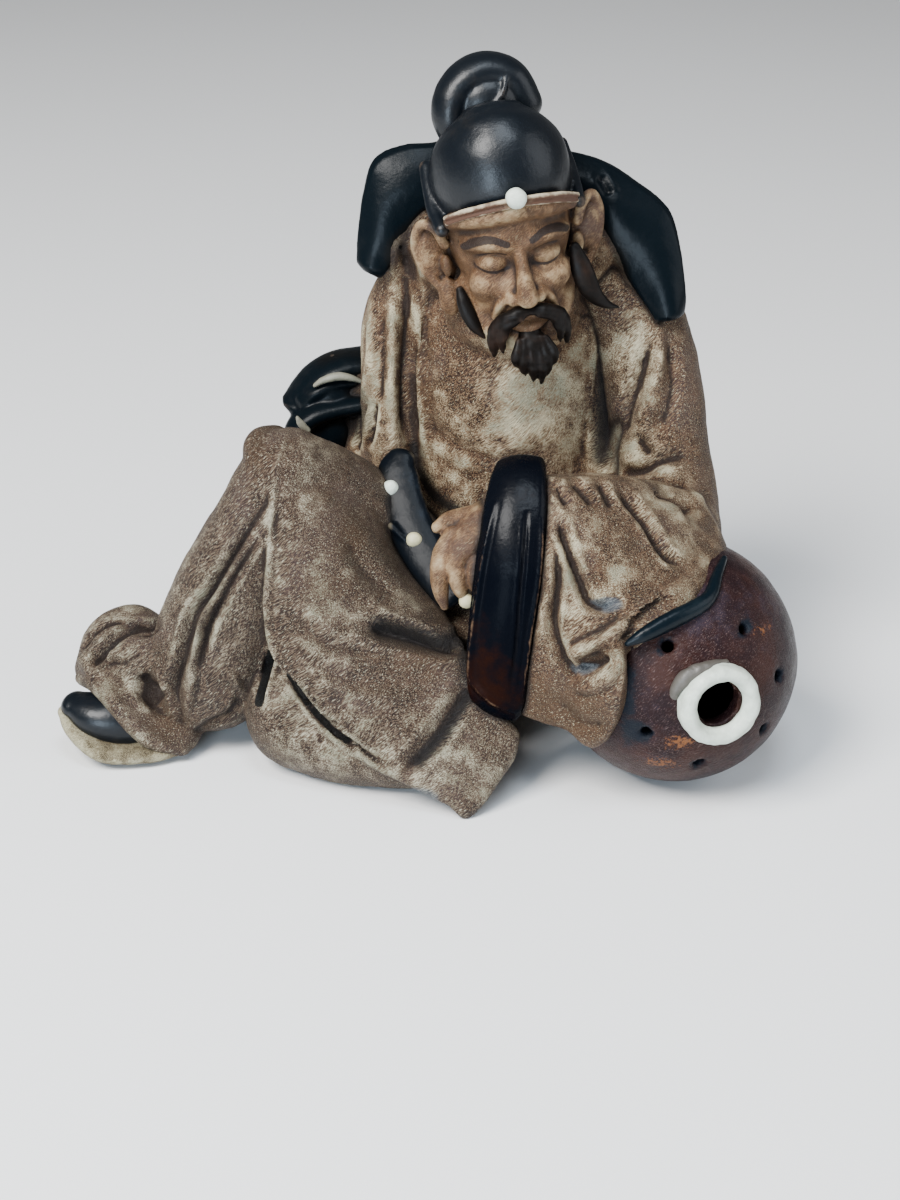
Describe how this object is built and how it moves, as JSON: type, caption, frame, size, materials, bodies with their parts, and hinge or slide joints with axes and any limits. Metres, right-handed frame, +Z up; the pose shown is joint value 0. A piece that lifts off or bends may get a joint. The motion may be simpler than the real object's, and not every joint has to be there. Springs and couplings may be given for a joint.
{
  "type": "seated scholar figurine",
  "caption": "Fired clay figure of a seated scholar in glazed cap and loose robe, leaning on a round wine jar that lies on its side; a mantel or shelf ornament.",
  "frame": {"origin": "centre of the bounding box's underside, on the surface the figure stands on", "axes": "+Z up, -Y towards the front that the face and the jar's mouth look to, +X towards the jar"},
  "size_m": [0.2218, 0.1492, 0.2035],
  "materials": {
    "terracotta": "bare fired clay, brown, with worn cream and grey-green wash and fine tool scratches",
    "black_glaze": "glossy blue-black and dark red-brown glaze, worn at its edges",
    "jar_glaze": "mottled aubergine and brown glaze, semi-gloss",
    "cream_slip": "cream-white slip, satin, worn"
  },
  "bodies": {
    "root": {"terracotta_sage": "terracotta", "wine_jar": "jar_glaze"}
  },
  "joints": []
}
